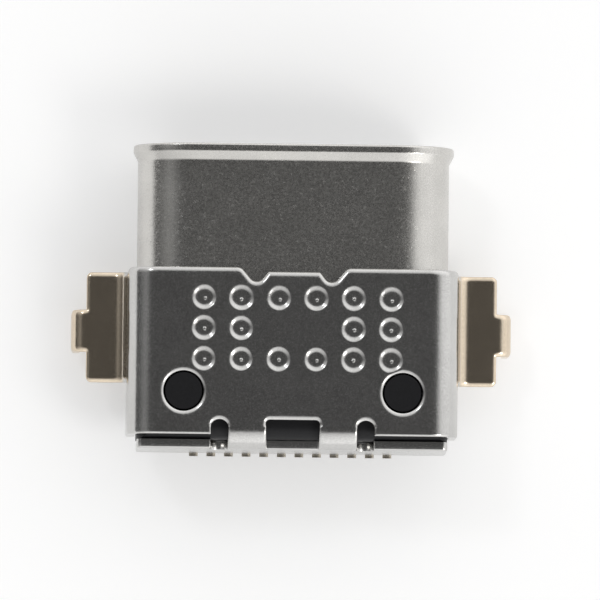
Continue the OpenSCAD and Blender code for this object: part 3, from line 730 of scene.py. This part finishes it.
FLARE = LIP_FLARE / MM
shell_rear = MOUTH_MM - float(shell_low[1]) / MM
wall_corners = [(FLARE, 0, 0.07), (FLARE + SHEET_MM, 0, 0.07), (FLARE + SHEET_MM, 0.22, 0.1),
                (SHEET_MM, 0.47, 0.16), (SHEET_MM, shell_rear, 0), (0, shell_rear, 0),
                (0, 0.47, 0.2), (FLARE, 0.22, 0.2)]
wall_line = rounded(wall_corners, step=0.6)
section_curve = poly_curve("wall_section", [(r, MOUTH_MM - d, 0) for r, d in wall_line], True)
path_curve = poly_curve("mouth_path", mouth_path(OPENING_H / 2 / MM), True)
shell = run_tree(path_curve, sweep_tree, "drawn_shell", Section=section_curve, Material=shell_steel)
print("drawn shell:", len(shell.data.vertices), "points")

# %% [markdown]
# Two slots at the rear let the housing's pegs through, and the lower half is cut short where the
# board begins. A Boolean modifier takes simple cutters away, and the result is made a plain mesh.

# %% Cut-outs of the shell
def box_cutter(low, high):
    """A box between two corners in mm."""
    corners = [(x, y, z) for x in (low[0], high[0]) for y in (low[1], high[1]) for z in (low[2], high[2])]
    faces = [(0, 1, 3, 2), (4, 6, 7, 5), (0, 4, 5, 1), (2, 3, 7, 6), (0, 2, 6, 4), (1, 5, 7, 3)]
    return mesh_object("cutter", corners, faces)


def slot_cutter(x, y, radius, rear, low, high):
    """A round-ended slot, open to the rear."""
    angles = np.linspace(0, math.pi, 25)
    rim = [(x + radius * math.cos(a), y + radius * math.sin(a)) for a in angles]
    rim += [(x - radius, rear), (x + radius, rear)]
    n = len(rim)
    points = [(*p, low) for p in rim] + [(*p, high) for p in rim]
    faces = [tuple(range(n))[::-1], tuple(range(n, 2 * n))]
    faces += [(i, (i + 1) % n, n + (i + 1) % n, n + i) for i in range(n)]
    return mesh_object("cutter", points, faces)


def cut_away(target, cutters):
    """The object without the cutters, as a plain mesh object of the same name."""
    for cutter in cutters:
        modifier = target.modifiers.new("cut", "BOOLEAN")
        modifier.operation = "DIFFERENCE"
        modifier.solver = "EXACT"
        modifier.object = cutter
    graph = bpy.context.evaluated_depsgraph_get()
    mesh = bpy.data.meshes.new_from_object(target.evaluated_get(graph), depsgraph=graph)
    target.modifiers.clear()
    target.data = mesh
    for cutter in cutters:
        bpy.data.objects.remove(cutter)


LOW_HALF_LEN = 6.85
finish_shading(shell)
cut_away(shell, [
    box_cutter((-6, -6, -1), (6, MOUTH_MM - LOW_HALF_LEN, SEAT_Z + 0.1)),
    *(slot_cutter(side * PEG_X, MOUTH_MM - PEG_DEPTH, HOLE_R, -6, 2, 5) for side in (1, -1))])
finish_shading(shell)
for spare in (section_curve, path_curve):
    bpy.data.objects.remove(spare)
print("cut shell spans", points_of(shell).min(0).round(2), "to", points_of(shell).max(0).round(2))

# %% [markdown]
# ## The contacts
# Every contact is a narrow strip on one bent centre line, and the contacts of a row differ only in
# where their front end lies. So one tree makes both strips, stands them on a row of points, and
# picks the long one for the power and ground places.

# %% Contact rows with Geometry Nodes
CONTACTS, PITCH = 12, 0.5
LONG_PLACES = (0, 3, 8, 11)
LONG_FRONT, SHORT_FRONT = 1.45, 1.9


def bent_line(start, steps):
    """Points in the YZ plane, in mm: lengths to run and (radius, degrees) to bend; minus is down."""
    y, z, heading = start[0], start[1], 0.0
    points = [(0, y, z)]
    for step in steps:
        if isinstance(step, tuple):
            radius, turn = step[0], math.radians(step[1])
            pieces = max(3, round(abs(step[1]) / 9))
            for _ in range(pieces):
                heading += turn / pieces / 2
                chord = 2 * radius * math.sin(abs(turn) / pieces / 2)
                y, z = y - chord * math.cos(heading), z + chord * math.sin(heading)
                heading += turn / pieces / 2
                points.append((0, y, z))
        else:
            y, z = y - step * math.cos(heading), z + step * math.sin(heading)
            points.append((0, y, z))
    return points


row_tree, given, result = new_tree("contact_row", [
    ("Long", "NodeSocketObject", None), ("Short", "NodeSocketObject", None),
    ("Width", "NodeSocketFloat", 0.25 * MM), ("Thickness", "NodeSocketFloat", 0.12 * MM),
    ("Rounding", "NodeSocketFloat", 0.02 * MM), ("Material", "NodeSocketMaterial", None)])
across = node_in(row_tree, "GeometryNodeCurvePrimitiveQuadrilateral",
                 Width=given.outputs["Width"], Height=given.outputs["Thickness"])
soft = node_in(row_tree, "GeometryNodeFilletCurve", Curve=across.outputs[0],
               Radius=given.outputs["Rounding"])
is_long = node_in(row_tree, "GeometryNodeInputNamedAttribute", {"data_type": "BOOLEAN"}, Name="long")
is_short = node_in(row_tree, "FunctionNodeBooleanMath", {"operation": "NOT"}, _0=is_long.outputs[0])
joined = node_in(row_tree, "GeometryNodeJoinGeometry")
for label, chosen in (("Long", is_long), ("Short", is_short)):
    line = node_in(row_tree, "GeometryNodeObjectInfo", Object=given.outputs[label])
    strip = node_in(row_tree, "GeometryNodeCurveToMesh", Curve=line.outputs["Geometry"],
                    Profile_Curve=soft.outputs[0], Fill_Caps=True)
    copies = node_in(row_tree, "GeometryNodeInstanceOnPoints", Points=given.outputs["Geometry"],
                     Selection=chosen.outputs[0], Instance=strip.outputs[0])
    row_tree.links.new(copies.outputs[0], joined.inputs[0])
real = node_in(row_tree, "GeometryNodeRealizeInstances", Geometry=joined.outputs[0])
paint = node_in(row_tree, "GeometryNodeSetMaterial", Geometry=real.outputs[0],
                Material=given.outputs["Material"])
row_tree.links.new(paint.outputs[0], result.inputs[0])


def contact_row(name, z, first_run, after):
    """A row of twelve contacts whose centre line starts at height z."""
    marks = mesh_object(
        "row_marks", [((i - (CONTACTS - 1) / 2) * PITCH, 0, 0) for i in range(CONTACTS)], [])
    flag = marks.data.attributes.new("long", "BOOLEAN", "POINT")
    flag.data.foreach_set("value", [i in LONG_PLACES for i in range(CONTACTS)])
    lines = []
    for front_end in (LONG_FRONT, SHORT_FRONT):
        lines.append(poly_curve("centre_line", bent_line((MOUTH_MM - front_end, z),
                                                         [first_run - front_end, *after]), False))
    made = run_tree(marks, row_tree, name, Long=lines[0], Short=lines[1], Material=gold)
    for spare in (marks, *lines):
        bpy.data.objects.remove(spare)
    finish_shading(made, 50)
    return made


upper_row = contact_row("upper_contact_row", 1.95, 8.04, [(0.16, -90), 0.44, (0.16, 90), 0.42])
lower_row = contact_row("lower_contact_row", 1.37, 7.12, [(0.16, -30), 0.2743, (0.16, 30), 0.1625])
for row in (upper_row, lower_row):
    print(row.name, "spans", points_of(row).min(0).round(2), "to", points_of(row).max(0).round(2))

# %% [markdown]
# ## Which piece stands for what
# The swept, folded and repeated pieces take the place of their solids. The moulded parts and the
# plates inside keep their solids and only get a finish.

# %% Pieces, bodies and finishes
contact_names = [[f"{row}_contact_{i}" for i in range(1, CONTACTS + 1)]
                 for row in ("upper", "lower")]
for piece, names, slot_name in (
        (welded, ["shield_cover"], "steel_cover"), (shell, ["inner_shell"], "steel_shell"),
        (upper_row, contact_names[0], "gold_contact"), (lower_row, contact_names[1], "gold_contact")):
    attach(piece, "root")
    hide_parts(*names)
finishes = {"housing": plastic, "upper_insulator": plastic, "lower_insulator": plastic,
            "latch_plate": plate_steel, "upper_ground_plate": gold,
            "lower_ground_plate": gold}
for name, material in finishes.items():
    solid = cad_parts[name]
    solid.data.materials.clear()
    solid.data.materials.append(material)
print("solids kept in view:", sorted(finishes))

# %% [markdown]
# ## Floor, light and camera
# Bright metal shows its surroundings. Straight above it is the dark camera side of the room, so
# the flat faces look dark grey, and bright walls stand lower down, which the bends and edges pick
# up. Two soft lamps stand opposite each other, and a pale floor closes the scene below.

# %% Floor and light
floor = mesh_object("floor", [(-3000, -3000, -0.02), (3000, -3000, -0.02),
                              (3000, 3000, -0.02), (-3000, 3000, -0.02)], [(0, 1, 2, 3)])
paper = bpy.data.materials.new("pale_paper")
paper.use_nodes = True
paper.node_tree.nodes.clear()
tree = paper.node_tree
matt = node_in(tree, "ShaderNodeBsdfDiffuse", Color=srgb("e6e6e6"))
ray = node_in(tree, "ShaderNodeLightPath")
seen = node_in(tree, "ShaderNodeMath", {"operation": "MAXIMUM"},
               _0=ray.outputs["Is Camera Ray"], _1=ray.outputs["Is Glossy Ray"])
seen_all = node_in(tree, "ShaderNodeMath", {"operation": "MAXIMUM"},
                   _0=seen.outputs[0], _1=ray.outputs["Is Transmission Ray"])
glow_level = node_in(tree, "ShaderNodeMath", {"operation": "MULTIPLY"}, _0=seen_all.outputs[0], _1=0.34)
glow = node_in(tree, "ShaderNodeEmission", Color=(1, 1, 1, 1), Strength=glow_level.outputs[0])
sheet = node_in(tree, "ShaderNodeAddShader", _0=matt.outputs[0], _1=glow.outputs[0])
node_in(tree, "ShaderNodeOutputMaterial", Surface=sheet.outputs[0])
floor.data.materials.append(paper)

world = bpy.data.worlds.new("room")
bpy.context.scene.world = world
world.use_nodes = True
tree = world.node_tree
tree.nodes.clear()
heading = node_in(tree, "ShaderNodeTexCoord")
way = node_in(tree, "ShaderNodeSeparateXYZ", Vector=heading.outputs["Generated"])
wide_x = node_in(tree, "ShaderNodeMath", {"operation": "DIVIDE"}, _0=way.outputs["X"], _1=0.82)
wide_y = node_in(tree, "ShaderNodeMath", {"operation": "DIVIDE"}, _0=way.outputs["Y"], _1=0.52)
oval = node_in(tree, "ShaderNodeCombineXYZ", X=wide_x.outputs[0], Y=wide_y.outputs[0])
oval_r = node_in(tree, "ShaderNodeVectorMath", {"operation": "LENGTH"}, _0=oval.outputs[0])
overhead = node_in(tree, "ShaderNodeMapRange", {"interpolation_type": "SMOOTHSTEP"},
                   Value=oval_r.outputs["Value"], From_Min=0.56, From_Max=1.0,
                   To_Min=1.0, To_Max=0.0)


def side_light(axis, sign, strength, power):
    """Light that grows towards one side of the room; a high power keeps it near the horizon."""
    towards = node_in(tree, "ShaderNodeMath", {"operation": "MULTIPLY", "use_clamp": True},
                      _0=way.outputs[axis], _1=sign)
    narrowed = node_in(tree, "ShaderNodeMath", {"operation": "POWER"},
                       _0=towards.outputs[0], _1=power)
    return node_in(tree, "ShaderNodeMath", {"operation": "MULTIPLY"},
                   _0=narrowed.outputs[0], _1=strength).outputs[0]


ROOM_LEVEL, OVERHEAD_LEVEL = 0.3, 0.083
total = ROOM_LEVEL
for axis, sign, strength, power in (("X", 1, 0.72, 1), ("X", -1, -0.28, 4),
                                    ("Y", 1, 0.95, 1), ("Y", -1, 0.95, 1)):
    total = node_in(tree, "ShaderNodeMath", {"operation": "ADD"},
                    _0=side_light(axis, sign, strength, power), _1=total).outputs[0]
level = node_in(tree, "ShaderNodeMix", {"data_type": "FLOAT"},
                Factor=overhead.outputs[0], A=total, B=OVERHEAD_LEVEL)
sky = node_in(tree, "ShaderNodeBackground", Color=(1, 1, 1, 1), Strength=level.outputs[0])
node_in(tree, "ShaderNodeOutputWorld", Surface=sky.outputs[0])


def soft_lamp(name, azimuth, elevation, spread, strength, colour):
    """A far lamp as wide as `spread` degrees. Azimuth runs from +X towards +Y."""
    data = bpy.data.lights.new(name, "SUN")
    data.energy = strength
    data.angle = math.radians(spread)
    data.color = srgb(colour)[:3]
    made = bpy.data.objects.new(name, data)
    a, e = math.radians(azimuth), math.radians(elevation)
    away = Vector((math.cos(a) * math.cos(e), math.sin(a) * math.cos(e), math.sin(e)))
    made.rotation_euler = away.to_track_quat("Z", "Y").to_euler()
    bpy.context.scene.collection.objects.link(made)
    return made


soft_lamp("right_lamp", -32, 42, 18, 0.42, "fffdf8")
soft_lamp("left_lamp", 132, 46, 10, 0.2, "f8fbff")

# %% [markdown]
# The camera stands almost straight above, tipped three and a half degrees to the rear and nearly
# two to the left. It is half a metre away behind a long lens, so parallel edges stay parallel.

# %% Camera and view
FRAME_WIDTH = 600 / 35.3
FAR = 500.0
outwards = Vector((-0.033, -0.061, 1.0)).normalized()
turn = math.radians(0.6)
upwards = Vector((-math.sin(turn), math.cos(turn), 0))
right = upwards.cross(outwards).normalized()
upwards = outwards.cross(right)
lens = bpy.data.cameras.new("camera")
lens.sensor_width = 36
lens.lens = 36 * (FAR - 2.5) / FRAME_WIDTH
lens.clip_end = 20
camera = bpy.data.objects.new("camera", lens)
bpy.context.scene.collection.objects.link(camera)
aim = Vector((0.276, 0.159, 0))
camera.matrix_world = Matrix((
    (right.x, upwards.x, outwards.x, (aim.x + outwards.x * FAR) * MM),
    (right.y, upwards.y, outwards.y, (aim.y + outwards.y * FAR) * MM),
    (right.z, upwards.z, outwards.z, (aim.z + outwards.z * FAR) * MM),
    (0, 0, 0, 1)))
bpy.context.scene.camera = camera
bpy.context.scene.view_settings.view_transform = "Standard"
print("lens", round(lens.lens), "mm at", FAR, "mm")

# %% The end
bpy.context.view_layer.update()
